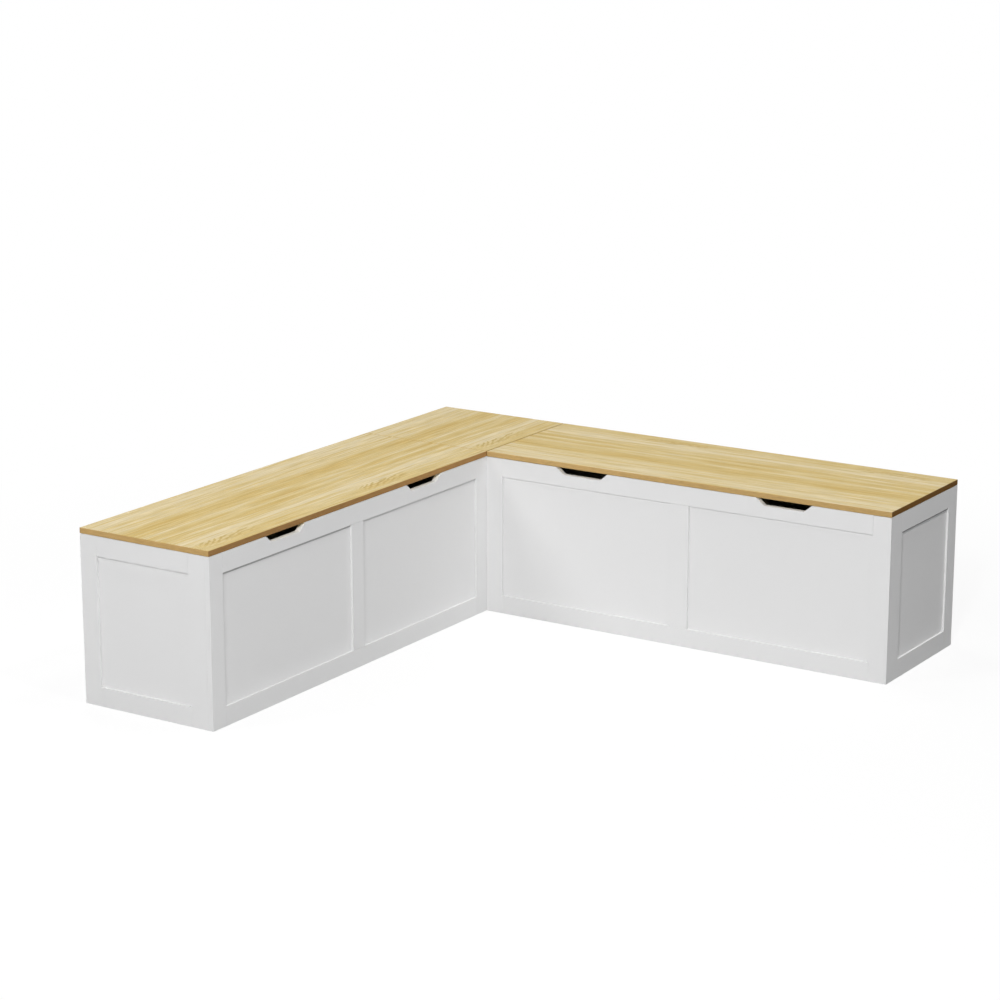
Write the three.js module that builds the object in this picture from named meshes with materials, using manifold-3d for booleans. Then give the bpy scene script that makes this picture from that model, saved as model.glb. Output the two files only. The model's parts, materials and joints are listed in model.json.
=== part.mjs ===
// A corner storage bench: two chests with lifting lids meet at a square corner with a fixed top.
// Millimetres, +Z up. The origin is on the floor, under the middle of the bench's outer box.
import * as THREE from 'three';
import { mergeVertices } from 'three/addons/utils/BufferGeometryUtils.js';
import Module from 'manifold-3d';

// Main sizes. The corner is as wide and as deep as a chest is deep.
const seatHeight = 457;
const seatDepth = 406;
const chestLength = 1219;
const topThickness = 15;
const topEase = 1.5; // rounding along every edge of a top
const seamGap = 2; // between a lid and the corner top
const lidGap = 0.5; // air between the tops and the boards under them
const jointGap = 0.3; // glue line between two fixed pieces

// Framed faces: stiles and rails grooved for thin panels
const frameThickness = 15;
const stileWidth = 51;
const railWidth = 51;
const mullionWidth = 51;
const panelThickness = 6;
const panelRecess = 6; // from the frame's face back to the panel's face
const grooveDepth = 9;
const panelSlack = 1; // room for a panel to swell in its grooves

// Finger cut-outs in the top edge of a front frame, for lifting the lid
const gripTopWidth = 160;
const gripBottomWidth = 116;
const gripDepth = 19;
const gripTopRadius = 10;
const gripBottomRadius = 4;
const gripPlaceShares = [0.25, 0.75]; // of the chest's length

// Plain boards and strips inside
const backThickness = 15;
const partitionThickness = 15;
const floorThickness = 12;
const ledgerWidth = 20;
const ledgerHeight = 25;
const ledgerLift = 10; // from the ground up to a ledger
const cornerPostWidth = 38;
const cleatWidth = 20;
const cleatHeight = 25;

// Long hinge with rolled knuckles, let into the back board and the lid
const leafThickness = 1.2;
const leafWidth = 13.5;
const knuckleRadius = 3;
const knucklePitch = 30;
const pinRadius = 1.5;
const hingeSlack = 0.4; // running clearance round the pin, between knuckles and beside them
const hingeInset = 20; // from a chest's inner faces to the hinge's ends
const screwPitch = 120;
const screwHeadRadius = 3.4; // at the face of a leaf or flange, where its countersink is widest

// Slotted stay: its arm hangs from a bracket on the lid and slides on a stud in the end frame
const lidOpensDegrees = 95;
const stayRadius = 170; // from the hinge axis to the arm's rivet, and to the stud
const rivetDrop = 13; // from the hinge axis down to the rivet, lid shut
const studDrop = 34; // from the hinge axis down to the stud
const armWidth = 14;
const armThickness = 2;
const rivetRadius = 2.4;
const rivetHeadRadius = 4.5;
const rivetHeadHeight = 1.4;
const studRadius = 2.6;
const studBaseRadius = 6;
const studBaseHeight = 3;
const studHeadRadius = 5;
const studHeadHeight = 2;
const slideSlack = 0.35; // running clearance of the stay's moving pieces
const bracketThickness = 2;
const bracketFlangeWidth = 20;
const bracketFlangeLength = 38;

const overrun = 5; // how far a cutter reaches past what it cuts
const hingeSides = 12; // facets round a knuckle, its bore and the pin
const turnedSides = 16; // facets round a rivet or stud
const screwSides = 10; // facets round a countersunk hole
const plateCurveSteps = 6; // steps along the round edges of the stay's plates
const gripCurveSteps = 3;

const bodyHeight = seatHeight - topThickness - lidGap;
const topUnderside = seatHeight - topThickness;
const overallLength = seatDepth + chestLength;
const hingeAxis = { y: -(knuckleRadius + hingeSlack), z: bodyHeight + lidGap / 2 };
const hingeReach = knuckleRadius - hingeAxis.y; // how far the hinges stand out behind the bench

const paint = new THREE.MeshStandardMaterial({ color: 0xe4e4e2, roughness: 0.45, metalness: 0 });
const oak = new THREE.MeshStandardMaterial({ color: 0xd6bb7d, roughness: 0.5, metalness: 0 });
const steel = new THREE.MeshStandardMaterial({ color: 0xb9bbbd, roughness: 0.35, metalness: 1 });

const wasm = await Module();
wasm.setup();

function toSolid(geometry) {
  geometry.deleteAttribute('normal');
  geometry.deleteAttribute('uv');
  const merged = mergeVertices(geometry);
  return new wasm.Manifold(new wasm.Mesh({
    numProp: 3,
    vertProperties: merged.attributes.position.array,
    triVerts: Uint32Array.from(merged.index.array),
  }));
}

function toMesh(name, solid, material) {
  const { vertProperties, triVerts } = solid.getMesh();
  const geometry = new THREE.BufferGeometry();
  geometry.setAttribute('position', new THREE.BufferAttribute(vertProperties, 3));
  geometry.setIndex(new THREE.BufferAttribute(triVerts, 1));
  geometry.computeVertexNormals();
  const mesh = new THREE.Mesh(geometry, material);
  mesh.name = name;
  return mesh;
}

function block(x0, x1, y0, y1, z0, z1) {
  const box = new THREE.BoxGeometry(x1 - x0, y1 - y0, z1 - z0);
  return toSolid(box.translate((x0 + x1) / 2, (y0 + y1) / 2, (z0 + z1) / 2));
}

// A rod along x
function rod(x0, x1, y, z, radius, sides) {
  const cylinder = new THREE.CylinderGeometry(radius, radius, x1 - x0, sides);
  return toSolid(cylinder.rotateZ(Math.PI / 2).translate((x0 + x1) / 2, y, z));
}

// A top board with all its edges eased
function easedBoard(x0, x1, y0, y1, z0, z1) {
  const outline = new THREE.Shape([
    new THREE.Vector2(x0, y0),
    new THREE.Vector2(x1, y0),
    new THREE.Vector2(x1, y1),
    new THREE.Vector2(x0, y1),
  ]);
  const board = new THREE.ExtrudeGeometry(outline, {
    depth: z1 - z0 - 2 * topEase,
    bevelThickness: topEase,
    bevelSize: topEase,
    bevelOffset: -topEase,
    bevelSegments: 2,
  });
  return toSolid(board.translate(0, 0, z0 + topEase));
}

// A closed outline through [x, y, radius] corners, counter-clockwise, each rounded to its radius
function roundedOutline(corners) {
  const outline = new THREE.Shape();
  corners.forEach(([x, y, radius], i) => {
    if (radius === 0) {
      if (i === 0) outline.moveTo(x, y);
      else outline.lineTo(x, y);
      return;
    }
    const corner = new THREE.Vector2(x, y);
    const back = new THREE.Vector2(...corners.at(i - 1)).sub(corner).normalize();
    const on = new THREE.Vector2(...corners[(i + 1) % corners.length]).sub(corner).normalize();
    const halfAngle = Math.acos(back.dot(on)) / 2;
    const middle = back.clone().add(on).setLength(radius / Math.sin(halfAngle)).add(corner);
    const start = back.clone().multiplyScalar(radius / Math.tan(halfAngle)).add(corner).sub(middle);
    const end = on.clone().multiplyScalar(radius / Math.tan(halfAngle)).add(corner).sub(middle);
    outline.absarc(middle.x, middle.y, radius, start.angle(), end.angle(), back.cross(on) > 0);
  });
  return outline;
}

// The groove that a panel or a tongue sits in, and the tongue on the end of a rail or mullion.
// A frame lies in the x-z plane with its face at y = 0 and its back at y = -frameThickness.
function groove(x0, x1, z0, z1) {
  const panelFace = -panelRecess;
  return block(x0, x1, panelFace - panelThickness - jointGap, panelFace + jointGap, z0, z1);
}

function tongue(x0, x1, z0, z1) {
  return block(x0, x1, -panelRecess - panelThickness, -panelRecess, z0, z1);
}

function makeStile(x0, grooveX) {
  const board = block(x0, x0 + stileWidth, -frameThickness, 0, 0, bodyHeight);
  const grooveEnd = grooveX + grooveDepth + overrun;
  return board.subtract(groove(grooveX, grooveEnd, -overrun, bodyHeight + overrun));
}

// The outline of a top rail, seen from the front, with its finger cut-outs
function topRailOutline(x0, x1, gripPlaces) {
  const corners = [[x0, bodyHeight - railWidth, 0], [x1, bodyHeight - railWidth, 0], [x1, bodyHeight, 0]];
  for (const place of [...gripPlaces].reverse()) {
    corners.push([place + gripTopWidth / 2, bodyHeight, gripTopRadius]);
    corners.push([place + gripBottomWidth / 2, bodyHeight - gripDepth, gripBottomRadius]);
    corners.push([place - gripBottomWidth / 2, bodyHeight - gripDepth, gripBottomRadius]);
    corners.push([place - gripTopWidth / 2, bodyHeight, gripTopRadius]);
  }
  corners.push([x0, bodyHeight, 0]);
  return roundedOutline(corners);
}

// A rail has a tongue at each end and a groove along the edge that faces the panels
function makeRail(length, isTop, gripPlaces) {
  const x0 = stileWidth + jointGap;
  const x1 = length - stileWidth - jointGap;
  const tongueLength = grooveDepth - jointGap;
  const z0 = isTop ? bodyHeight - railWidth : 0;
  const z1 = z0 + railWidth;
  let rail = block(x0, x1, -frameThickness, 0, z0, z1);
  if (gripPlaces.length > 0) {
    const outline = topRailOutline(x0, x1, gripPlaces);
    const cutRail = new THREE.ExtrudeGeometry(outline, {
      depth: frameThickness, bevelEnabled: false, curveSegments: gripCurveSteps,
    });
    rail = toSolid(cutRail.rotateX(Math.PI / 2));
  }
  rail = rail.add(tongue(x0 - jointGap - tongueLength, x0 + tongueLength, z0, z1));
  rail = rail.add(tongue(x1 - tongueLength, x1 + jointGap + tongueLength, z0, z1));
  const grooveZ = isTop ? z0 - overrun : z1 - grooveDepth;
  return rail.subtract(groove(-overrun, length + overrun, grooveZ, grooveZ + grooveDepth + overrun));
}

function makeMullion(x0, z0, z1) {
  const x1 = x0 + mullionWidth;
  const tongueLength = grooveDepth - jointGap;
  const board = block(x0, x1, -frameThickness, 0, z0 + jointGap, z1 - jointGap)
    .add(tongue(x0, x1, z0 - tongueLength, z1 + tongueLength));
  const reach = grooveDepth + overrun;
  const low = z0 - reach;
  const high = z1 + reach;
  return board
    .subtract(groove(x0 - overrun, x0 - overrun + reach, low, high))
    .subtract(groove(x1 + overrun - reach, x1 + overrun, low, high));
}

// One framed face with one panel or two. startWord and endWord name its ends, x = 0 first.
function makeFrame(prefix, length, startWord, endWord, panelCount, gripPlaces) {
  const frame = new THREE.Group();
  const add = (name, solid) => frame.add(toMesh(`${prefix}_${name}`, solid, paint));
  const low = railWidth;
  const high = bodyHeight - railWidth;
  const bite = grooveDepth - panelSlack; // how far a panel reaches into its grooves
  const endStileX = length - stileWidth;
  add(`${startWord}_stile`, makeStile(0, stileWidth - grooveDepth));
  add(`${endWord}_stile`, makeStile(endStileX, endStileX - overrun));
  add('bottom_rail', makeRail(length, false, []));
  add('top_rail', makeRail(length, true, gripPlaces));
  if (panelCount === 1) {
    add('panel', tongue(stileWidth - bite, endStileX + bite, low - bite, high + bite));
    return frame;
  }
  const mullionX = (length - mullionWidth) / 2;
  add('mullion', makeMullion(mullionX, low, high));
  add(`${startWord}_panel`, tongue(stileWidth - bite, mullionX + bite, low - bite, high + bite));
  add(`${endWord}_panel`,
    tongue(mullionX + mullionWidth - bite, endStileX + bite, low - bite, high + bite));
  return frame;
}

// Where the long hinge lies along a chest's back board: whole knuckles, centred between the end walls
function hingeSpan(wallX0, wallX1) {
  const count = Math.floor((wallX1 - wallX0 - 2 * hingeInset) / knucklePitch);
  const middle = (wallX0 + wallX1) / 2;
  return { count, x0: middle - (count * knucklePitch) / 2, x1: middle + (count * knucklePitch) / 2 };
}

// The shallow pocket that lets one leaf in flush with the wood
function leafPocket(span, isLid) {
  const depth = leafThickness + jointGap;
  const z0 = isLid ? topUnderside - overrun : bodyHeight - depth;
  const y1 = leafWidth + jointGap;
  return block(span.x0 - jointGap, span.x1 + jointGap, -overrun, y1, z0, z0 + depth + overrun);
}

// A screw hole whose countersink narrows at 45 degrees from faceZ, up (1) or down (-1) into the metal
function screwHole(x, y, faceZ, way, metalThickness) {
  const height = screwHeadRadius + metalThickness;
  const cone = new THREE.ConeGeometry(height, height, screwSides).rotateX(way * Math.PI / 2);
  return toSolid(cone.translate(x, y, faceZ + way * (screwHeadRadius - height / 2)));
}

// One leaf: a strip on the wood, and every second knuckle rolled round the pin
function makeLeaf(span, isLid) {
  const z0 = isLid ? topUnderside : bodyHeight - leafThickness;
  const z1 = z0 + leafThickness;
  const rollsY = leafThickness; // the strip and the rolled tabs overlap by one thickness
  let leaf = block(span.x0, span.x1, 0, leafWidth, z0, z1);
  for (let i = isLid ? 1 : 0; i < span.count; i += 2) {
    const x0 = span.x0 + i * knucklePitch + hingeSlack / 2;
    const x1 = span.x0 + (i + 1) * knucklePitch - hingeSlack / 2;
    leaf = leaf.add(rod(x0, x1, hingeAxis.y, hingeAxis.z, knuckleRadius, hingeSides));
    leaf = leaf.add(block(x0, x1, hingeAxis.y, rollsY, z0, z1));
  }
  const boreRadius = pinRadius + hingeSlack;
  const bore = rod(span.x0 - overrun, span.x1 + overrun, hingeAxis.y, hingeAxis.z, boreRadius, hingeSides);
  leaf = leaf.subtract(bore);
  const holeCount = Math.floor((span.x1 - span.x0) / screwPitch);
  const firstHole = (span.x0 + span.x1 - (holeCount - 1) * screwPitch) / 2;
  for (let i = 0; i < holeCount; i += 1) {
    const faceZ = isLid ? z0 : z1;
    leaf = leaf.subtract(
      screwHole(firstHole + i * screwPitch, leafWidth / 2, faceZ, isLid ? 1 : -1, leafThickness));
  }
  return leaf;
}

// Where the stay's rivet and stud lie in the chest's y-z plane, and the slot's two ends
function stayPlaces() {
  const rivet = new THREE.Vector2(Math.sqrt(stayRadius ** 2 - rivetDrop ** 2), -rivetDrop);
  const stud = new THREE.Vector2(Math.sqrt(stayRadius ** 2 - studDrop ** 2), -studDrop);
  const spread = rivet.angleTo(stud) + THREE.MathUtils.degToRad(lidOpensDegrees);
  const axis = new THREE.Vector2(hingeAxis.y, hingeAxis.z);
  return {
    shutReach: rivet.distanceTo(stud),
    openReach: 2 * stayRadius * Math.sin(spread / 2),
    angle: stud.clone().sub(rivet).angle(),
    rivet: rivet.add(axis),
    stud: stud.add(axis),
  };
}

// A flat plate from an outline drawn round place in the chest's y-z plane and turned by angle.
// It fills x0 to x0 + thickness.
function plateAcross(outline, thickness, x0, place, angle) {
  const plate = new THREE.ExtrudeGeometry(outline, {
    depth: thickness, bevelEnabled: false, curveSegments: plateCurveSteps,
  });
  const toChest = new THREE.Matrix4().makeBasis(
    new THREE.Vector3(0, 1, 0), new THREE.Vector3(0, 0, 1), new THREE.Vector3(1, 0, 0));
  return toSolid(plate.rotateZ(angle).applyMatrix4(toChest).translate(x0, place.x, place.y));
}

// A bar with round ends between two points a reach apart along x, used for the arm and its slot
function roundBar(Kind, x0, x1, radius) {
  const bar = new Kind();
  bar.moveTo(x0, -radius);
  bar.lineTo(x1, -radius);
  bar.absarc(x1, 0, radius, -Math.PI / 2, Math.PI / 2);
  bar.lineTo(x0, radius);
  bar.absarc(x0, 0, radius, Math.PI / 2, (3 * Math.PI) / 2);
  return bar;
}

function roundHole(radius) {
  return new THREE.Path().absarc(0, 0, radius, 0, 2 * Math.PI);
}

function makeStayArm(places, x0) {
  const outline = roundBar(THREE.Shape, 0, places.openReach + armWidth / 2, armWidth / 2);
  outline.holes.push(roundHole(rivetRadius + slideSlack));
  outline.holes.push(
    roundBar(THREE.Path, places.shutReach, places.openReach, studRadius + slideSlack));
  return plateAcross(outline, armThickness, x0, places.rivet, places.angle);
}

// The bracket's ear hangs beside the arm, and its flange lies under the lid
function makeStayBracket(places, earX0, flangeX0) {
  const flangeTop = topUnderside - jointGap;
  const ear = new THREE.Shape();
  ear.moveTo(armWidth / 2, flangeTop - places.rivet.y);
  ear.lineTo(-armWidth / 2, flangeTop - places.rivet.y);
  ear.lineTo(-armWidth / 2, 0);
  ear.absarc(0, 0, armWidth / 2, Math.PI, 2 * Math.PI);
  ear.holes.push(roundHole(rivetRadius + slideSlack));
  const flangeY0 = places.rivet.x - bracketFlangeLength / 2;
  const flange = block(flangeX0, flangeX0 + bracketFlangeWidth, flangeY0, flangeY0 + bracketFlangeLength,
    flangeTop - bracketThickness, flangeTop);
  const bracket = plateAcross(ear, bracketThickness, earX0, places.rivet, 0).add(flange);
  const holeX = flangeX0 + bracketFlangeWidth / 2;
  const holeInset = bracketFlangeLength / 4;
  return [flangeY0 + holeInset, flangeY0 + bracketFlangeLength - holeInset].reduce(
    (plate, y) => plate.subtract(
      screwHole(holeX, y, flangeTop - bracketThickness, 1, bracketThickness)),
    bracket);
}

// A turned piece along x from [radius, distance] points, starting at x and running the way of way
function turned(points, x, y, z, way) {
  const profile = points.map(([radius, distance]) => new THREE.Vector2(radius, distance));
  const lathe = new THREE.LatheGeometry(profile, turnedSides);
  return toSolid(lathe.rotateZ(-way * Math.PI / 2).translate(x, y, z));
}

// A turned pin with a base, a thinner shaft and a head, given as lengths along it and radii
function pinProfile(baseRadius, baseHeight, shaftRadius, shaftLength, headRadius, headHeight) {
  const shoulder = baseHeight + shaftLength;
  return [
    [0, 0], [baseRadius, 0], [baseRadius, baseHeight], [shaftRadius, baseHeight],
    [shaftRadius, shoulder], [headRadius, shoulder],
    [headRadius, shoulder + headHeight], [0, shoulder + headHeight],
  ];
}

// The stay's pieces, laid side by side inwards from the end frame's inner face
function addStay(add, faceX, inwards) {
  const places = stayPlaces();
  const armOut = jointGap + studBaseHeight + slideSlack;
  const earOut = armOut + armThickness + slideSlack;
  const lowX = (out, width) => (inwards > 0 ? faceX + out : faceX - out - width);
  add('stay_arm', makeStayArm(places, lowX(armOut, armThickness)), steel);
  add('stay_bracket', makeStayBracket(
    places, lowX(earOut, bracketThickness), lowX(earOut, bracketFlangeWidth)), steel);

  const studShaft = armThickness + 2 * slideSlack;
  const stud = pinProfile(
    studBaseRadius, studBaseHeight, studRadius, studShaft, studHeadRadius, studHeadHeight);
  const studX = faceX + inwards * jointGap;
  add('stay_stud', turned(stud, studX, places.stud.x, places.stud.y, inwards), steel);

  const rivetShaft = armThickness + bracketThickness + 3 * slideSlack;
  const rivet = pinProfile(
    rivetHeadRadius, rivetHeadHeight, rivetRadius, rivetShaft, rivetHeadRadius, rivetHeadHeight);
  const rivetX = faceX + inwards * (armOut - slideSlack - rivetHeadHeight);
  add('stay_rivet', turned(rivet, rivetX, places.rivet.x, places.rivet.y, inwards), steel);
}

// One chest. x runs along it, y from its back (0) to its front, z up. The chest to the left of the
// corner starts at its inner end, and the one to the right starts at its outer end.
function makeChest(side) {
  const isLeft = side === 'left';
  const chest = new THREE.Group();
  const add = (name, solid, material) => chest.add(toMesh(`${side}_${name}`, solid, material));
  const x = (fromInnerEnd) => (isLeft ? fromInnerEnd : chestLength - fromInnerEnd);
  const slab = (u0, u1, y0, y1, z0, z1, make = block) => (
    make(Math.min(x(u0), x(u1)), Math.max(x(u0), x(u1)), y0, y1, z0, z1));
  const endInner = chestLength - frameThickness; // the end frame's inner face, from the inner end
  const frontBack = seatDepth - frameThickness; // the front frame's back
  const wall = partitionThickness;
  const span = hingeSpan(Math.min(x(wall), x(endInner)), Math.max(x(wall), x(endInner)));

  const gripPlaces = gripPlaceShares.map((share) => share * chestLength);
  const frontWords = isLeft ? ['inner', 'outer'] : ['outer', 'inner'];
  const front = makeFrame(`${side}_front`, chestLength, ...frontWords, 2, gripPlaces);
  front.position.y = seatDepth;
  chest.add(front);

  const endWords = isLeft ? ['front', 'rear'] : ['rear', 'front'];
  const end = makeFrame(`${side}_end`, frontBack - jointGap, ...endWords, 1, []);
  end.rotation.z = isLeft ? -Math.PI / 2 : Math.PI / 2;
  end.position.set(x(chestLength), isLeft ? frontBack - jointGap : 0, 0);
  chest.add(end);

  const back = slab(0, endInner - jointGap, 0, backThickness, 0, bodyHeight);
  add('back_board', back.subtract(leafPocket(span, false)), paint);
  const roomBack = backThickness + jointGap;
  const roomFront = frontBack - jointGap;
  add('partition', slab(0, wall, roomBack, roomFront, 0, bodyHeight), paint);

  const u0 = wall + jointGap;
  const u1 = endInner - jointGap;
  const ledgerTop = ledgerLift + ledgerHeight;
  const floorLow = ledgerTop + jointGap;
  add('rear_ledger', slab(u0, u1, roomBack, roomBack + ledgerWidth, ledgerLift, ledgerTop), paint);
  add('front_ledger', slab(u0, u1, roomFront - ledgerWidth, roomFront, ledgerLift, ledgerTop), paint);
  add('floor_board', slab(u0, u1, roomBack, roomFront, floorLow, floorLow + floorThickness), paint);

  const lid = slab(seamGap / 2, chestLength, 0, seatDepth, topUnderside, seatHeight, easedBoard);
  add('lid', lid.subtract(leafPocket(span, true)), oak);

  add('hinge_fixed_leaf', makeLeaf(span, false), steel);
  add('hinge_lid_leaf', makeLeaf(span, true), steel);
  add('hinge_pin', rod(span.x0, span.x1, hingeAxis.y, hingeAxis.z, pinRadius, hingeSides), steel);
  addStay(add, x(endInner), isLeft ? -1 : 1);
  return chest;
}

// The corner between the chests: two wall boards, a post in the inside corner, cleats and the top.
// x runs right from the rear corner and y towards the room is negative.
function makeCorner() {
  const corner = new THREE.Group();
  const add = (name, solid, material) => corner.add(toMesh(`corner_${name}`, solid, material));
  const far = seatDepth - jointGap; // where the chests' inner ends meet the corner
  add('rear_board', block(0, far, -backThickness, 0, 0, bodyHeight), paint);
  add('side_board', block(0, backThickness, -far, -backThickness - jointGap, 0, bodyHeight), paint);
  const postSide = far - cornerPostWidth;
  add('post', block(postSide, far, -far, -postSide, 0, bodyHeight), paint);
  const cleatFrom = backThickness + jointGap;
  const cleatTo = postSide - jointGap;
  const cleatLow = bodyHeight - cleatHeight;
  add('left_cleat', block(cleatFrom, cleatTo, -far, -far + cleatWidth, cleatLow, bodyHeight), paint);
  add('right_cleat', block(far - cleatWidth, far, -cleatTo, -cleatFrom, cleatLow, bodyHeight), paint);
  const topSide = seatDepth - seamGap / 2;
  add('top', easedBoard(0, topSide, -topSide, 0, topUnderside, seatHeight), oak);
  return corner;
}

const bench = new THREE.Group();
const leftChest = makeChest('left');
leftChest.rotation.z = -Math.PI / 2;
leftChest.position.y = -seatDepth;
const rightChest = makeChest('right');
rightChest.rotation.z = Math.PI;
rightChest.position.x = overallLength;
bench.add(leftChest, makeCorner(), rightChest);
bench.position.set(-(overallLength - hingeReach) / 2, (overallLength - hingeReach) / 2, 0);

export default bench;
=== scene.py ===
import json
import math
import bmesh
import bpy
from mathutils import Matrix, Vector


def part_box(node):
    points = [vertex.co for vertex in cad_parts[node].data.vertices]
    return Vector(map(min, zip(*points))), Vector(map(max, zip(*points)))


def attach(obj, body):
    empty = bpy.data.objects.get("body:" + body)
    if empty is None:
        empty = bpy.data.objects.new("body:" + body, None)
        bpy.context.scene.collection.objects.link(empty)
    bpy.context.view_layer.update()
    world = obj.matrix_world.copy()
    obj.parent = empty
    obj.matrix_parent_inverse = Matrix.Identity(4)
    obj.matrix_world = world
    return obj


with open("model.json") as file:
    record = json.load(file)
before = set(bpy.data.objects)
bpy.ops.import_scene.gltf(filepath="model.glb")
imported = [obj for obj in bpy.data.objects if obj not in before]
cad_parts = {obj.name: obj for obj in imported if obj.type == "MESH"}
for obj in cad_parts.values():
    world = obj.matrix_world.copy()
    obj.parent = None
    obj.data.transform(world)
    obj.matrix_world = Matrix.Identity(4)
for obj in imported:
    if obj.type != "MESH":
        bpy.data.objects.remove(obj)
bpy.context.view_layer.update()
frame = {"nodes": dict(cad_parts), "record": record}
scene = bpy.context.scene
scene.view_settings.view_transform = "Standard"
mm = 0.001
print("corner bench: frame loaded with", len(frame["nodes"]), "pieces")


# Camera, floor and lights

cameraView = {
    "place": (3.666, -5.843, 2.250),
    "turnDegrees": 32.80,     # to the left of +Y
    "downDegrees": 14.53,
    "lens": 100.4,
    "sight": 100.0,           # metres
}

studio = {
    "skyLevel": 0.02,         # even white light from all round
    "floorSize": 60.0,
    "floorColour": 0.62,
    "floorShare": 0.25,       # how much of its own shading the eye sees near the bench
    "floorGlow": 0.86,        # white added there, so that only shadows stay below white
    "whiteFrom": 1.3,         # distance at which the floor starts to fade to plain white
    "whiteAt": 2.6,
}

lamps = {
    "keyLamp": {"place": (3.7, -1.4, 6.0), "aim": (-0.1, 0.0, 0.3), "size": 0.4, "power": 80.0},
    "topLamp": {"place": (1.2, 0.45, 5.0), "aim": (0.0, 0.0, 0.2), "size": 1.2, "power": 52.0},
    "rearLamp": {"place": (-1.5, 1.0, 5.0), "aim": (0.0, 0.0, 0.2), "size": 2.0, "power": 38.0},
    "frontLamp": {"place": (2.6, -5.6, 3.8), "aim": (0.0, 0.3, 0.2), "size": 0.8, "power": 216.0},
    "leftLamp": {"place": (-3.0, -4.0, 4.6), "aim": (0.0, 0.3, 0.2), "size": 2.4, "power": 104.0},
    # a faint fill for the inside corner and a plain one for the back, both without glare
    "cornerLamp": {"place": (0.0, 0.05, 0.6), "aim": (-0.41, 0.3, 0.35), "size": 0.3,
                   "power": 0.07, "glossy": False},
    "backLamp": {"place": (-5.6, 4.0, 1.1), "aim": (-0.4, 0.4, 0.2), "size": 1.6,
                 "power": 210.0, "glossy": False},
}


def addCamera():
    data = bpy.data.cameras.new("benchCamera")
    data.lens = cameraView["lens"]
    data.clip_end = cameraView["sight"]
    camera = bpy.data.objects.new("benchCamera", data)
    scene.collection.objects.link(camera)
    camera.location = cameraView["place"]
    tilt = math.radians(90.0 - cameraView["downDegrees"])
    camera.rotation_euler = (tilt, 0.0, math.radians(cameraView["turnDegrees"]))
    scene.camera = camera


def addLamp(name, values):
    data = bpy.data.lights.new(name, "AREA")
    data.shape = "DISK"
    data.size = values["size"]
    data.energy = values["power"]
    lamp = bpy.data.objects.new(name, data)
    scene.collection.objects.link(lamp)
    lamp.location = values["place"]
    toAim = Vector(values["aim"]) - lamp.location
    lamp.rotation_euler = toAim.to_track_quat("-Z", "Y").to_euler()
    lamp.visible_camera = False
    lamp.visible_glossy = values.get("glossy", True)


# Small helpers for node trees

nodeSpacing = 190.0


def addNode(tree, kind, inputs=None, **settings):
    node = tree.nodes.new("ShaderNode" + kind)
    node.location.x = nodeSpacing * len(tree.nodes)
    for key, value in settings.items():
        setattr(node, key, value)
    for key, value in (inputs or {}).items():
        if isinstance(value, bpy.types.NodeSocket):
            tree.links.new(value, node.inputs[key])
        else:
            node.inputs[key].default_value = value
    return node


def calc(tree, operation, *values):
    return addNode(tree, "Math", dict(enumerate(values)), operation=operation).outputs[0]


def vectorCalc(tree, operation, *values):
    return addNode(tree, "VectorMath", dict(enumerate(values)), operation=operation).outputs[0]


def scaled(tree, vector, share):
    return addNode(tree, "VectorMath", {0: vector, "Scale": share}, operation="SCALE").outputs[0]


def parts(tree, vector):
    return addNode(tree, "SeparateXYZ", {0: vector}).outputs


# 0 below low and 1 above high, smooth between; falls the other way if low is above high
def ease(tree, value, low, high):
    inputs = {"Value": value, "From Min": low, "From Max": high}
    return addNode(tree, "MapRange", inputs, interpolation_type="SMOOTHSTEP").outputs[0]


# 1 between the two middle limits, falling smoothly to 0 at the outer ones
def window(tree, value, limits):
    start, full, fading, end = limits
    return calc(tree, "MULTIPLY", ease(tree, value, start, full), ease(tree, value, end, fading))


def mixValue(tree, share, first, second):
    return addNode(tree, "Mix", {0: share, 2: first, 3: second}, data_type="FLOAT").outputs[0]


def mixColour(tree, share, first, second):
    return addNode(tree, "Mix", {0: share, 6: first, 7: second}, data_type="RGBA").outputs[2]


def opaque(colour):
    return (*colour, 1.0)


def grey(level):
    return (level, level, level, 1.0)


def ramp(tree, value, stops, interpolation="LINEAR"):
    node = addNode(tree, "ValToRGB", {"Fac": value})
    node.color_ramp.interpolation = interpolation
    marks = node.color_ramp.elements
    while len(marks) < len(stops):
        marks.new(0.5)
    for mark, (place, colour) in zip(marks, stops):
        mark.position = place
        mark.color = opaque(colour) if isinstance(colour, tuple) else grey(colour)
    return node.outputs["Color"]


def objectPlace(tree):
    return addNode(tree, "TexCoord").outputs["Object"]


# an input without a value is a vector
def newGroup(name, inputs):
    group = bpy.data.node_groups.new(name, "ShaderNodeTree")
    for label, value in inputs.items():
        kind = "NodeSocketVector" if value is None else "NodeSocketFloat"
        socket = group.interface.new_socket(name=label, in_out="INPUT", socket_type=kind)
        if value is not None:
            socket.default_value = value
    return group, group.nodes.new("NodeGroupInput").outputs


def closeGroup(group, outputs):
    for label in outputs:
        group.interface.new_socket(name=label, in_out="OUTPUT", socket_type="NodeSocketFloat")
    made = group.nodes.new("NodeGroupOutput").inputs
    for label, value in outputs.items():
        group.links.new(value, made[label])
    return group


def putGroup(tree, group, inputs):
    return addNode(tree, "Group", inputs, node_tree=group).outputs


def emptyTree(owner):
    owner.use_nodes = True
    owner.node_tree.nodes.clear()
    return owner.node_tree


# 1 for what the eye sees straight on, in a reflection or through glass
def seenDirectly(tree):
    rays = addNode(tree, "LightPath").outputs
    either = calc(tree, "MAXIMUM", rays["Is Camera Ray"], rays["Is Glossy Ray"])
    return calc(tree, "MAXIMUM", either, rays["Is Transmission Ray"])


def mixShader(tree, share, first, second):
    return addNode(tree, "MixShader", {0: share, 1: first.outputs[0], 2: second.outputs[0]})


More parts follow.
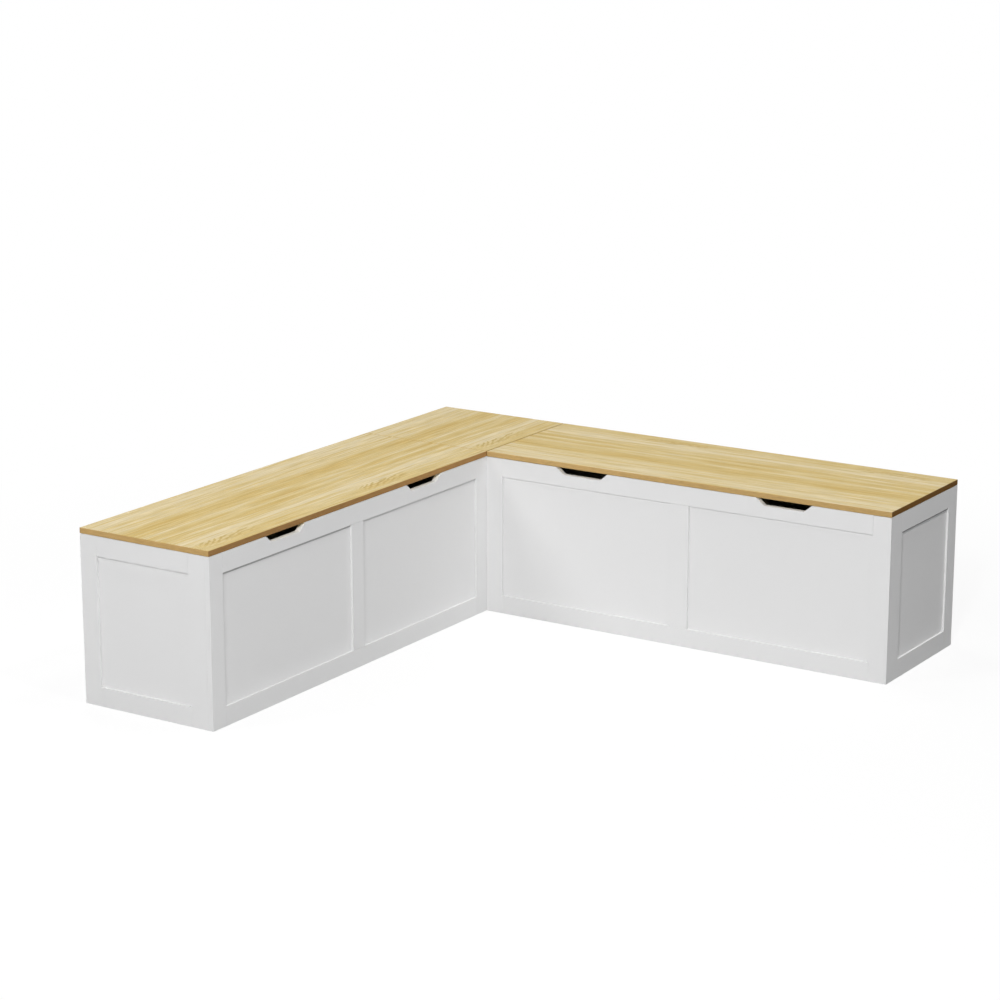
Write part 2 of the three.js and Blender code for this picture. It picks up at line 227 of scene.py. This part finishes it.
def addFloor():
    half = studio["floorSize"] / 2
    corners = [(-half, -half, 0), (half, -half, 0), (half, half, 0), (-half, half, 0)]
    mesh = bpy.data.meshes.new("floor")
    mesh.from_pydata(corners, [], [(0, 1, 2, 3)])
    floor = bpy.data.objects.new("floor", mesh)
    scene.collection.objects.link(floor)
    material = bpy.data.materials.new("floorPaint")
    mesh.materials.append(material)
    tree = emptyTree(material)
    lit = studio["floorColour"]
    real = addNode(tree, "BsdfDiffuse", {"Color": grey(lit)})
    faint = addNode(tree, "BsdfDiffuse", {"Color": grey(lit * studio["floorShare"])})
    glowing = addNode(tree, "Emission", {"Color": grey(studio["floorGlow"])})
    near = addNode(tree, "AddShader", {0: faint.outputs[0], 1: glowing.outputs[0]})
    far = addNode(tree, "Emission", {"Color": grey(1.0)})
    distance = addNode(tree, "VectorMath", {0: objectPlace(tree)}, operation="LENGTH").outputs["Value"]
    farShare = ease(tree, distance, studio["whiteFrom"], studio["whiteAt"])
    seen = mixShader(tree, farShare, near, far)
    floorMix = mixShader(tree, seenDirectly(tree), real, seen)
    addNode(tree, "OutputMaterial", {"Surface": floorMix.outputs[0]})


def addSky():
    world = bpy.data.worlds.new("studioSky")
    tree = emptyTree(world)
    light = addNode(tree, "Background", {"Color": grey(studio["skyLevel"])})
    white = addNode(tree, "Background", {"Color": grey(1.0)})
    sky = mixShader(tree, seenDirectly(tree), light, white)
    addNode(tree, "OutputWorld", {"Surface": sky.outputs[0]})
    scene.world = world


addCamera()
addFloor()
addSky()
for name, values in lamps.items():
    addLamp(name, values)
print("corner bench: camera, floor and lights are set")


# Noise for the finishes: cycles per metre along x, y and z, detail and roughness.
# On oak, x runs along the grain, y across it and z into the board.

paintGrains = 1 / (1.4 * mm)     # per metre
rollingLines = 1 / (0.35 * mm)
alongLine = 0.04                 # cycles along a rolling line, against those across it
patterns = {
    "oakWave": (2.6, 7.0, 7.0, 2.0, 0.55),
    "oakStreak": (3.2, 105.0, 105.0, 4.0, 0.55),
    "oakLine": (4.5, 330.0, 330.0, 2.0, 0.55),
    "oakFibre": (22.0, 1100.0, 1100.0, 3.0, 0.55),
    "oakCloud": (13.0, 200.0, 150.0, 3.0, 0.55),
    "flameWobble": (22.0, 60.0, 60.0, 2.0, 0.55),
    "bandFine": (60.0, 420.0, 5.0, 3.0, 0.65),
    "bandCoarse": (34.0, 190.0, 5.0, 2.0, 0.55),
    "paintCloud": (3.0, 3.0, 3.0, 2.0, 0.55),
    "paintGloss": (17.0, 17.0, 17.0, 3.0, 0.55),
    "paintGrain": (paintGrains, paintGrains, paintGrains, 2.0, 0.55),
    "steelLine": (alongLine * rollingLines, alongLine * rollingLines, rollingLines, 3.0, 0.55),
    "steelBloom": (160.0, 160.0, 160.0, 3.0, 0.55),
}


def pattern(tree, place, kind):
    *cycles, detail, roughness = patterns[kind]
    inputs = {"Vector": vectorCalc(tree, "MULTIPLY", place, cycles), "Scale": 1.0,
              "Detail": detail, "Roughness": roughness}
    return addNode(tree, "TexNoise", inputs).outputs["Fac"]


def centredPattern(tree, place, kind):
    return calc(tree, "SUBTRACT", pattern(tree, place, kind), 0.5)


# Oak: stripes across each top, streaks and pores along it, and flame figure near one edge

oakFigureSizes = {
    "topWidth": 406 * mm,
    "drift": 0.014,               # of the stripes to either side, in metres
    # light and dark stripes across a top, from the flamed edge: place in mm and lightness
    "stripes": [
        (0, 0.4), (42, 0.4), (62, 0.7), (76, 0.6), (90, 1.0), (108, 0.45), (128, 0.45),
        (146, 0.2), (162, 0.55), (182, 0.2), (204, 0.55), (228, 0.25), (258, 0.1), (272, 0.25),
        (290, 0.6), (330, 0.55), (366, 0.85), (386, 0.65),
    ],
    "strengths": {"oakStreak": 1.3, "oakLine": 2.4, "oakFibre": 0.55},
    "cloudShade": 0.55,
    "sheetLength": 662 * mm,      # the veneer's figure starts again after this length
    # darker streaks in each sheet, in mm: from, to, place across, half width; then depth
    "streaks": [
        (150, 290, 263, 14, 0.20), (420, 580, 260, 13, 0.20), (420, 655, 181, 7, 0.34),
        (190, 350, 184, 7, 0.22), (400, 650, 147, 6, 0.22), (20, 150, 338, 8, 0.22),
        (320, 430, 341, 7, 0.20), (60, 230, 146, 5, 0.16),
    ],
    "streakEnd": 50 * mm,         # over which a streak fades in and out
    "raggedEnds": 0.16,           # metres by which the noise moves these ends
    "streakShade": -0.10,
    # the flame's patch in its sheet: start, full, fading and end
    "flameAlong": (10 * mm, 55 * mm, 202 * mm, 262 * mm),
    "flameAcross": (8 * mm, 54 * mm, 56 * mm, 64 * mm),
    "flamePitch": 15 * mm,        # between two strokes
    "flameSlope": 0.72,           # of the strokes at their start, and how fast it falls per metre
    "flameFall": 1.5,
    "flameWobble": 0.030,
    "strokeEdges": (-0.35, 0.95),
    "flameTone": -0.62,
    "flameShade": -0.12,
    "deepest": -0.4,              # tone of the deepest streaks, where plain wood goes from 0 to 1
    "poreCells": (190.0, 1700.0, 1700.0),
    "poreReach": (0.42, 0.20),    # in dark and in light wood
    "poreSoftness": 0.16,
    "fibreRelief": 0.5,           # against a pore's depth
}


def streakMarks(group, across, along):
    sizes = oakFigureSizes
    marks = 0.0
    for first, last, middle, half, depth in sizes["streaks"]:
        off = calc(group, "ABSOLUTE", calc(group, "SUBTRACT", across, middle * mm))
        band = calc(group, "MULTIPLY", ease(group, off, half * mm, 0.0), depth)
        start, end = first * mm, last * mm
        length = (start, start + sizes["streakEnd"], end - sizes["streakEnd"], end)
        marks = calc(group, "MULTIPLY_ADD", band, window(group, along, length), marks)
    return marks


# a fan of bent strokes
def flameStrokes(group, grain, across, along):
    sizes = oakFigureSizes
    fromStart = calc(group, "SUBTRACT", along, sizes["flameAlong"][0])
    slope = calc(group, "MULTIPLY_ADD", fromStart, -sizes["flameFall"], sizes["flameSlope"])
    bend = calc(group, "MULTIPLY", fromStart, slope)
    wobble = centredPattern(group, grain, "flameWobble")
    wobble = calc(group, "MULTIPLY", wobble, sizes["flameWobble"])
    phase = calc(group, "ADD", calc(group, "SUBTRACT", across, bend), wobble)
    wave = calc(group, "SINE", calc(group, "MULTIPLY", phase, 2 * math.pi / sizes["flamePitch"]))
    patch = calc(group, "MULTIPLY", window(group, along, sizes["flameAlong"]),
                 window(group, across, sizes["flameAcross"]))
    return calc(group, "MULTIPLY", ease(group, wave, *sizes["strokeEdges"]), patch)


def makeOakFigure():
    sizes = oakFigureSizes
    group, given = newGroup("oakFigure", {"Grain": None})
    grain = given["Grain"]
    place = parts(group, grain)
    wave = centredPattern(group, grain, "oakWave")
    across = calc(group, "MULTIPLY_ADD", wave, sizes["drift"], place["Y"])
    width = sizes["topWidth"]
    stripes = [(middle * mm / width, tone) for middle, tone in sizes["stripes"]]
    tone = ramp(group, calc(group, "DIVIDE", across, width), stripes, "EASE")
    noises = {kind: centredPattern(group, grain, kind) for kind in sizes["strengths"]}
    for kind, strength in sizes["strengths"].items():
        tone = calc(group, "MULTIPLY_ADD", noises[kind], strength, tone)

    inSheet = calc(group, "FLOORED_MODULO", place["X"], sizes["sheetLength"])
    ragged = calc(group, "MULTIPLY_ADD", noises["oakStreak"], sizes["raggedEnds"], inSheet)
    marks = streakMarks(group, across, ragged)
    flame = flameStrokes(group, grain, across, inSheet)
    tone = calc(group, "SUBTRACT", tone, marks)
    tone = calc(group, "MULTIPLY_ADD", flame, sizes["flameTone"], tone)
    fromDeepest = {"Value": tone, "From Min": sizes["deepest"], "From Max": 1.0}
    tone = addNode(group, "MapRange", fromDeepest, clamp=True).outputs[0]

    cloud = centredPattern(group, grain, "oakCloud")
    shade = calc(group, "MULTIPLY_ADD", cloud, sizes["cloudShade"], 1.0)
    shade = calc(group, "MULTIPLY_ADD", marks, sizes["streakShade"], shade)
    shade = calc(group, "MULTIPLY_ADD", flame, sizes["flameShade"], shade)

    cells = vectorCalc(group, "MULTIPLY", grain, sizes["poreCells"])
    spots = addNode(group, "TexVoronoi", {"Vector": cells, "Scale": 1.0}).outputs["Distance"]
    reach = mixValue(group, tone, *sizes["poreReach"])
    pores = ease(group, calc(group, "SUBTRACT", spots, reach), 0.0, -sizes["poreSoftness"])
    relief = calc(group, "MULTIPLY", noises["oakFibre"], sizes["fibreRelief"])
    height = calc(group, "SUBTRACT", relief, pores)
    return closeGroup(group, {"Tone": tone, "Shade": shade, "Pores": pores, "Height": height})


bandSizes = {
    "boardWidth": 406 * mm,
    "boardThickness": 15 * mm,
    "edge": (0.3 * mm, 0.9 * mm),     # from a face, where the band begins and where it is full
    "sideDepth": 2 * mm,              # a point nearer than this to a long side is on it
    "fineShare": 0.4,
}


# the edge bands of a board: which of its sides a point is on, and the band's own grain
def makeEdgeBand():
    sizes = bandSizes
    group, given = newGroup("edgeBand", {"Grain": None})
    place = parts(group, given["Grain"])
    start, full = sizes["edge"]
    thickness = sizes["boardThickness"]
    inside = window(group, place["Z"], (start, full, thickness - full, thickness - start))
    front = calc(group, "LESS_THAN", place["Y"], sizes["sideDepth"])
    rear = calc(group, "GREATER_THAN", place["Y"], sizes["boardWidth"] - sizes["sideDepth"])
    longSide = calc(group, "MAXIMUM", front, rear)
    run = mixValue(group, longSide, place["Y"], place["X"])
    inBand = {"X": run, "Y": place["Z"], "Z": longSide}
    inBand = addNode(group, "CombineXYZ", inBand).outputs[0]
    fine, coarse = pattern(group, inBand, "bandFine"), pattern(group, inBand, "bandCoarse")
    grainTone = mixValue(group, sizes["fineShare"], coarse, fine)
    return closeGroup(group, {"Edge": inside, "LongSide": longSide, "Grain tone": grainTone})


# fromHighY: at which side the board's own frame starts; shift: of the figure, in metres;
# innerPaintedLight: painted light that makes the edge bands lighter toward the board's inner end
# longEdge and endEdge: colours of the edge bands; the sides facing +x, the left boards' long edges and
# the right lid's ends, get a much darker colour as painted shade
leftOak = {
    "turnDegrees": 90, "fromHighY": False, "shift": 0.0, "light": 1.0, "innerPaintedLight": 1.24,
    "longEdge": (0.370, 0.206, 0.076), "endEdge": (0.594, 0.385, 0.152),
}
rightOak = {
    "turnDegrees": 180, "fromHighY": True, "shift": 0.03, "light": 0.995, "innerPaintedLight": 1.09,
    "longEdge": (0.568, 0.374, 0.150), "endEdge": (0.195, 0.097, 0.024),
}
oakBoards = {
    "left_lid": leftOak,
    "corner_top": {**leftOak, "innerPaintedLight": 1.0},
    "right_lid": rightOak,
}

oakFinish = {
    "tones": [(-0.4, (0.585, 0.375, 0.085)), (0.0, (0.630, 0.445, 0.130)),
              (0.5, (0.690, 0.540, 0.240)), (1.0, (0.780, 0.662, 0.430))],
    "poreColour": (0.42, 0.27, 0.10),
    "poreStrength": 0.45,
    "bumpDepth": 0.12 * mm,
    "shine": 0.12,
    "roughness": (0.46, 0.62),     # between pores and in them
    "bandRoughness": 0.9,
    "bandShade": (0.68, 1.32),     # darkest and lightest grain of the edge bands
    "innerReach": (0.2, 1.3),      # metres along a board over which the painted light on its bands rises
}


def newFinish(name, **sockets):
    material = bpy.data.materials.new(name)
    material.use_nodes = True
    shader = material.node_tree.nodes["Principled BSDF"]
    for key, value in sockets.items():
        shader.inputs[key.replace("_", " ")].default_value = value
    return material, material.node_tree, shader.inputs


def setFinish(tree, shader, colour, roughness, height, depth):
    bump = {"Height": height, "Distance": depth, "Strength": 1.0}
    tree.links.new(colour, shader["Base Color"])
    tree.links.new(roughness, shader["Roughness"])
    tree.links.new(addNode(tree, "Bump", bump).outputs[0], shader["Normal"])


def makeOak(board, values):
    low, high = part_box(board)
    material, tree, shader = newFinish("oak_" + board, Specular_IOR_Level=oakFinish["shine"])
    mapping = {
        "Vector": objectPlace(tree),
        "Location": (high.x, high.y if values["fromHighY"] else low.y, high.z),
        "Rotation": (0.0, 0.0, math.radians(values["turnDegrees"])),
        "Scale": (1.0, 1.0, -1.0),
    }
    onBoard = addNode(tree, "Mapping", mapping, vector_type="TEXTURE").outputs[0]
    onSheet = vectorCalc(tree, "SUBTRACT", onBoard, (values["shift"], 0.0, 0.0))
    figure = putGroup(tree, oakFigure, {"Grain": onSheet})
    band = putGroup(tree, edgeBand, {"Grain": onBoard})

    deepest = oakFigureSizes["deepest"]
    stops = [((tone - deepest) / (1.0 - deepest), colour) for tone, colour in oakFinish["tones"]]
    shade = calc(tree, "MULTIPLY", figure["Shade"], values["light"])
    face = scaled(tree, ramp(tree, figure["Tone"], stops), shade)
    poreShare = calc(tree, "MULTIPLY", figure["Pores"], oakFinish["poreStrength"])
    face = mixColour(tree, poreShare, face, opaque(oakFinish["poreColour"]))

    # painted shade: the edge colours make the sides facing +x much darker
    ends, longs = opaque(values["endEdge"]), opaque(values["longEdge"])
    side = mixColour(tree, band["LongSide"], ends, longs)
    side = scaled(tree, side, mixValue(tree, band["Grain tone"], *oakFinish["bandShade"]))
    # painted light: the edge bands turn lighter toward the board's inner end
    innerShare = ease(tree, parts(tree, onBoard)["X"], *oakFinish["innerReach"])
    side = scaled(tree, side, mixValue(tree, innerShare, 1.0, values["innerPaintedLight"]))

    colour = mixColour(tree, band["Edge"], face, side)
    faceRoughness = mixValue(tree, figure["Pores"], *oakFinish["roughness"])
    roughness = mixValue(tree, band["Edge"], faceRoughness, oakFinish["bandRoughness"])
    setFinish(tree, shader, colour, roughness, figure["Height"], oakFinish["bumpDepth"])
    return material


# White paint: a fine rolled skin, slightly cloudy in tone and gloss

paintShine = 0.25
whitePaint = {
    "colour": (0.870, 0.870, 0.870),
    "shade": 0.985,           # of the cloudy spots
    "smooth": 0.50,
    "dull": 0.60,
    "depth": 0.02 * mm,
}
paintFinishes = {
    "facePaint": whitePaint,
    "ledgePaintWithPaintedLight": {**whitePaint, "upwardPaintedLight": (0.99, 0.99, 0.99)},
    "innerPaint": {"colour": (0.800, 0.797, 0.790), "shade": 0.96, "smooth": 0.55, "dull": 0.66,
                   "depth": 0.03 * mm},
}
upwardSlope = (0.3, 0.7)      # of the normal, where the painted light on upward faces begins and where it is full

# Brushed paint fills the corners between a panel and its frame: a soft rise toward each edge
panelCove = {
    "lowWidths": (10 * mm, 26 * mm, 44 * mm),     # from the panel's low side, in x, y and z
    "highWidths": (22 * mm, 24 * mm, 8 * mm),
    "slopes": (0.18, 0.05),               # at the edge itself, for panels that face x and y
    "cornerHeights": (8 * mm, 5.5 * mm),  # of the painted shade and painted light under the top rail: where it ends, where it is full
    "grooved": 8 * mm,                    # of the panel is hidden in the frame
    "farAway": 1.0,                       # metres; keeps the cove off the panel's own faces
}
# painted shade and painted light in the corner under the top rail, against the rest of the panel:
# below 1 it is painted shade (panels facing x), above 1 painted light (panels facing y)
paintedLightAndShadeUnderRail = {
    "left_end_panel": 1.12,
    "left_front_outer_panel": 0.62,
    "left_front_inner_panel": 0.86,
    "right_front_inner_panel": 1.09,
    "right_front_outer_panel": 1.06,
    "right_end_panel": 0.20,
}


def makePaintSkin():
    group, given = newGroup("paintSkin", {"Place": None})
    kinds = {"Cloud": "paintCloud", "Gloss": "paintGloss", "Height": "paintGrain"}
    outputs = {label: pattern(group, given["Place"], kind) for label, kind in kinds.items()}
    return closeGroup(group, outputs)


def makeCove():
    group, given = newGroup("cove", {"Place": None, "Low": None, "High": None, "Slope": 0.1})
    place, low, high = given["Place"], given["Low"], given["High"]

    def rise(inset, widths):
        left = vectorCalc(group, "SUBTRACT", (1, 1, 1), vectorCalc(group, "DIVIDE", inset, widths))
        left = vectorCalc(group, "MAXIMUM", left, (0, 0, 0))
        square = vectorCalc(group, "MULTIPLY", left, left)
        product = addNode(group, "VectorMath", {0: square, 1: widths}, operation="DOT_PRODUCT")
        return product.outputs["Value"]

    aboveLow = vectorCalc(group, "SUBTRACT", place, low)
    belowHigh = vectorCalc(group, "SUBTRACT", high, place)
    both = calc(group, "ADD", rise(aboveLow, panelCove["lowWidths"]),
                rise(belowHigh, panelCove["highWidths"]))
    height = calc(group, "MULTIPLY", both, calc(group, "MULTIPLY", given["Slope"], 0.5))
    # the band under the top rail that takes the painted shade and painted light
    corner = ease(group, parts(group, belowHigh)["Z"], *panelCove["cornerHeights"])
    return closeGroup(group, {"Height": height, "Corner": corner})


# the part of a panel that its frame leaves free, and the slope of its cove
def panelFace(panel):
    low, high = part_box(panel)
    thin = min(range(3), key=lambda axis: high[axis] - low[axis])
    for axis in range(3):
        inset = -panelCove["farAway"] if axis == thin else panelCove["grooved"]
        low[axis] += inset
        high[axis] -= inset
    return {"Low": tuple(low), "High": tuple(high), "Slope": panelCove["slopes"][thin]}


def makePaint(name, values, panel=None):
    material, tree, shader = newFinish(name, Specular_IOR_Level=paintShine)
    place = objectPlace(tree)
    skin = putGroup(tree, paintSkin, {"Place": place})
    height = calc(tree, "MULTIPLY", skin["Height"], values["depth"])
    shaded = [channel * values["shade"] for channel in values["colour"]]
    colour = mixColour(tree, skin["Cloud"], opaque(shaded), opaque(values["colour"]))
    if panel:
        edges = putGroup(tree, cove, {"Place": place, **panelFace(panel)})
        height = calc(tree, "ADD", height, edges["Height"])
        # painted shade and painted light in the corner under the top rail, set per panel
        light = mixValue(tree, edges["Corner"], 1.0, paintedLightAndShadeUnderRail[panel])
        colour = scaled(tree, colour, light)
    # painted light: faces that point up are made whiter on these pieces
    if "upwardPaintedLight" in values:
        normal = addNode(tree, "TexCoord").outputs["Normal"]
        upwardPaintedLight = ease(tree, parts(tree, normal)["Z"], *upwardSlope)
        colour = mixColour(tree, upwardPaintedLight, colour, opaque(values["upwardPaintedLight"]))
    roughness = mixValue(tree, skin["Gloss"], values["smooth"], values["dull"])
    setFinish(tree, shader, colour, roughness, height, 1.0)     # the height is in metres here
    return material


# Zinc-plated steel: faint rolling lines and a cloudy bloom

steelFinishes = {
    "zincSheet": {"colour": (0.46, 0.47, 0.48), "bloom": (0.34, 0.35, 0.37),
                  "smooth": 0.24, "dull": 0.44},
    "zincTurned": {"colour": (0.42, 0.43, 0.44), "bloom": (0.31, 0.32, 0.34),
                   "smooth": 0.18, "dull": 0.34},
    "zincScrew": {"colour": (0.40, 0.40, 0.39), "bloom": (0.28, 0.27, 0.25),
                  "smooth": 0.26, "dull": 0.46},
}
rollingDepth = 0.01 * mm


def makeBrushing():
    group, given = newGroup("brushing", {"Place": None})
    kinds = {"Lines": "steelLine", "Bloom": "steelBloom"}
    outputs = {label: pattern(group, given["Place"], kind) for label, kind in kinds.items()}
    return closeGroup(group, outputs)


def makeSteel(name, values):
    material, tree, shader = newFinish(name, Metallic=1.0)
    brushed = putGroup(tree, brushing, {"Place": objectPlace(tree)})
    colour = mixColour(tree, brushed["Bloom"], opaque(values["bloom"]), opaque(values["colour"]))
    roughness = mixValue(tree, brushed["Lines"], values["smooth"], values["dull"])
    setFinish(tree, shader, colour, roughness, brushed["Lines"], rollingDepth)
    return material


oakFigure = makeOakFigure()
edgeBand = makeEdgeBand()
paintSkin = makePaintSkin()
cove = makeCove()
brushing = makeBrushing()
oaks = {board: makeOak(board, values) for board, values in oakBoards.items()}
paints = {name: makePaint(name, values) for name, values in paintFinishes.items()}
panelPaints = {name: makePaint(name + "_paint", whitePaint, name) for name in paintedLightAndShadeUnderRail}
steels = {name: makeSteel(name, values) for name, values in steelFinishes.items()}
print("corner bench: oak, paint and steel are mixed")


# The CAD pieces get their finish; all but the oak boards also get softened edges and smooth shading

edgeRounding = {
    "boards": 0.6 * mm,
    "sheets": 0.25 * mm,
    "segments": 2,
    "sharperThanDegrees": 40,
    "weldWithin": 0.005 * mm,
}
innerWords = ("back_board", "partition", "ledger", "floor_board", "side_board", "rear_board",
              "post", "cleat")
turnedWords = ("stud", "rivet", "pin")
ledgeWords = ("front_top_rail", "right_end_bottom_rail")
slotOf = {part["node"]: part["material_slot"] for part in frame["record"]["subparts"]}


def soften(piece, width):
    weld = piece.modifiers.new("weld", "WELD")
    weld.merge_threshold = edgeRounding["weldWithin"]
    if width > 0:
        rounding = piece.modifiers.new("rounding", "BEVEL")
        rounding.width = width
        rounding.segments = edgeRounding["segments"]
        rounding.limit_method = "ANGLE"
        rounding.angle_limit = math.radians(edgeRounding["sharperThanDegrees"])
        shading = piece.modifiers.new("shading", "WEIGHTED_NORMAL")
        shading.keep_sharp = False


# a piece's material and the width of its rounded edges
def finishFor(name):
    if name in oaks:
        return oaks[name], 0.0      # these edges are rounded in the CAD
    if slotOf[name] == "zinc_steel":
        steel = "zincTurned" if name.endswith(turnedWords) else "zincSheet"
        return steels[steel], edgeRounding["sheets"]
    if name in panelPaints:
        return panelPaints[name], edgeRounding["boards"]
    if name.endswith(ledgeWords):
        return paints["ledgePaintWithPaintedLight"], edgeRounding["boards"]
    paint = "innerPaint" if name.endswith(innerWords) else "facePaint"
    return paints[paint], edgeRounding["boards"]


for name, piece in frame["nodes"].items():
    material, width = finishFor(name)
    piece.data.materials.clear()
    piece.data.materials.append(material)
    soften(piece, width)
print("corner bench: CAD pieces are finished")


# Wood screws with cross recesses: countersunk ones in the steel sheet, and proud heads elsewhere

screwKinds = {
    "sunk": {"headRadius": 3.2 * mm, "shankRadius": 1.5 * mm, "length": 10 * mm, "proud": 0.0},
    "stud": {"headRadius": 3.2 * mm, "shankRadius": 1.5 * mm, "length": 18 * mm,
             "proud": 1.0 * mm},
    "strip": {"headRadius": 4.0 * mm, "shankRadius": 2.0 * mm, "length": 30 * mm,
              "proud": 1.4 * mm},
}
screwSizes = {
    "crossReach": 1.9 * mm,
    "crossWidth": 0.62 * mm,
    "crossDepth": 0.8 * mm,
    "crossTaper": 0.55,
    "tipTaper": 0.9,
    "sides": 24,
}
screwTurns = {"firstDegrees": 11, "stepDegrees": 37}
hingeScrews = {"pitch": 120 * mm, "perLeaf": 9, "fromLeafEdge": 6.75 * mm}
bracketPlate = 2 * mm
stripScrews = {"pitch": 220 * mm, "fromEnd": 40 * mm}
# the strips of wood that are screwed on, and the way their free side looks
stripSides = {
    "left_front_ledger": (-1, 0, 0),
    "left_rear_ledger": (1, 0, 0),
    "right_front_ledger": (0, 1, 0),
    "right_rear_ledger": (0, -1, 0),
    "corner_left_cleat": (0, 1, 0),
    "corner_right_cleat": (-1, 0, 0),
}


# one screw with the top of its head at place, driven into the wood against outward
def addScrew(build, kind, place, outward, turnDegrees):
    sizes = {**screwSizes, **screwKinds[kind]}
    sides = sizes["sides"]
    matrix = Matrix.Translation(place) @ outward.to_track_quat("Z", "Y").to_matrix().to_4x4()
    matrix = matrix @ Matrix.Rotation(math.radians(turnDegrees), 4, "Z")

    def point(x, y, z):
        return build.verts.new(matrix @ Vector((x, y, z)))

    def ring(radius, z):
        turns = [2 * math.pi / sides * (i + 0.5) for i in range(sides)]
        return [point(radius * math.cos(turn), radius * math.sin(turn), z) for turn in turns]

    def wall(upper, lower):
        count = len(upper)
        for i in range(count):
            j = (i + 1) % count
            build.faces.new((upper[i], lower[i], lower[j], upper[j]))

    def cross(scale, z):
        reach, half = sizes["crossReach"] * scale, sizes["crossWidth"] * scale
        corners = []
        for i in range(4):
            c, s = math.cos(i * math.pi / 2), math.sin(i * math.pi / 2)
            for x, y in ((half, -half), (reach, -half), (reach, half)):
                corners.append(point(x * c - y * s, x * s + y * c, z))
        return corners

    # the head's face: one piece beyond each arm of the cross and one between two arms
    rim = ring(sizes["headRadius"], 0.0)
    slot = cross(1.0, 0.0)
    quarter = sides // 4
    for i in range(4):
        middle = i * quarter
        beyond = [rim[middle - 1], rim[middle]]
        between = [rim[(middle + k) % sides] for k in range(quarter)]
        nextArm = (i * 3 + 3) % 12
        build.faces.new([slot[i * 3 + 1], *beyond, slot[i * 3 + 2]])
        build.faces.new([slot[i * 3 + 2], *between, slot[nextArm + 1], slot[nextArm]])
    floor = cross(sizes["crossTaper"], -sizes["crossDepth"])
    wall(slot, floor)
    build.faces.new(floor)

    under, neckDepth = rim, sizes["headRadius"] - sizes["shankRadius"]
    if sizes["proud"] > 0:
        under, neckDepth = ring(sizes["headRadius"], -sizes["proud"]), sizes["proud"]
        wall(rim, under)
    neck = ring(sizes["shankRadius"], -neckDepth)
    tip = ring(sizes["shankRadius"] * sizes["tipTaper"], -sizes["length"])
    wall(under, neck)
    wall(neck, tip)
    build.faces.new(list(reversed(tip)))


def addScrews(name, body, places, outward, kind="sunk"):
    build = bmesh.new()
    for i, place in enumerate(places):
        turn = screwTurns["stepDegrees"] * i + screwTurns["firstDegrees"]
        addScrew(build, kind, place + outward * screwKinds[kind]["proud"], outward, turn)
    bmesh.ops.recalc_face_normals(build, faces=build.faces)
    mesh = bpy.data.meshes.new(name)
    build.to_mesh(mesh)
    build.free()
    mesh.materials.append(steels["zincScrew"])
    screws = bpy.data.objects.new(name, mesh)
    scene.collection.objects.link(screws)
    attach(screws, body)


# the screws of one chest's hinge, bracket and stud
def addSideScrews(side, along, front):
    up = Vector((0, 0, 1))
    low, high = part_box(side + "_hinge_fixed_leaf")
    middle = along.dot(low + high) / 2
    line = front * (max(front.dot(low), front.dot(high)) - hingeScrews["fromLeafEdge"])
    count, pitch = hingeScrews["perLeaf"], hingeScrews["pitch"]
    spots = [along * (middle + (i - (count - 1) / 2) * pitch) + line for i in range(count)]
    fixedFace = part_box(side + "_back_board")[1].z
    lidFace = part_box(side + "_lid")[0].z
    lidBody = side + "_lid_body"
    addScrews(side + "_hinge_fixed_screws", "carcass", [spot + up * fixedFace for spot in spots], up)
    addScrews(side + "_hinge_lid_screws", lidBody, [spot + up * lidFace for spot in spots], -up)

    low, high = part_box(side + "_stay_bracket")
    centre = (low + high) / 2
    quarter = front * (abs(front.dot(high - low)) / 4)
    flange = centre + up * (high.z - bracketPlate - centre.z)
    addScrews(side + "_bracket_screws", lidBody, [flange + quarter, flange - quarter], -up)

    low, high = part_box(side + "_stay_stud")
    centre = (low + high) / 2
    inward = along if along.dot(centre) < 0 else -along
    face = centre + inward * abs(along.dot(high - low)) / 2
    addScrews(side + "_stud_screw", "carcass", [face], inward, "stud")


def addStripScrews(strip, outward):
    low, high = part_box(strip)
    size = high - low
    run = max(range(3), key=lambda axis: size[axis])
    face = (low + high) / 2 + outward * abs(outward.dot(size)) / 2
    length = size[run] - 2 * stripScrews["fromEnd"]
    gaps = math.ceil(length / stripScrews["pitch"])
    places = [face.copy() for i in range(gaps + 1)]
    for i, place in enumerate(places):
        place[run] = low[run] + stripScrews["fromEnd"] + length * i / gaps
    addScrews(strip + "_screws", "carcass", places, outward, "strip")


addSideScrews("left", Vector((0, 1, 0)), Vector((1, 0, 0)))
addSideScrews("right", Vector((1, 0, 0)), Vector((0, -1, 0)))
for strip, outward in stripSides.items():
    addStripScrews(strip, Vector(outward))
print("corner bench: screws are in")
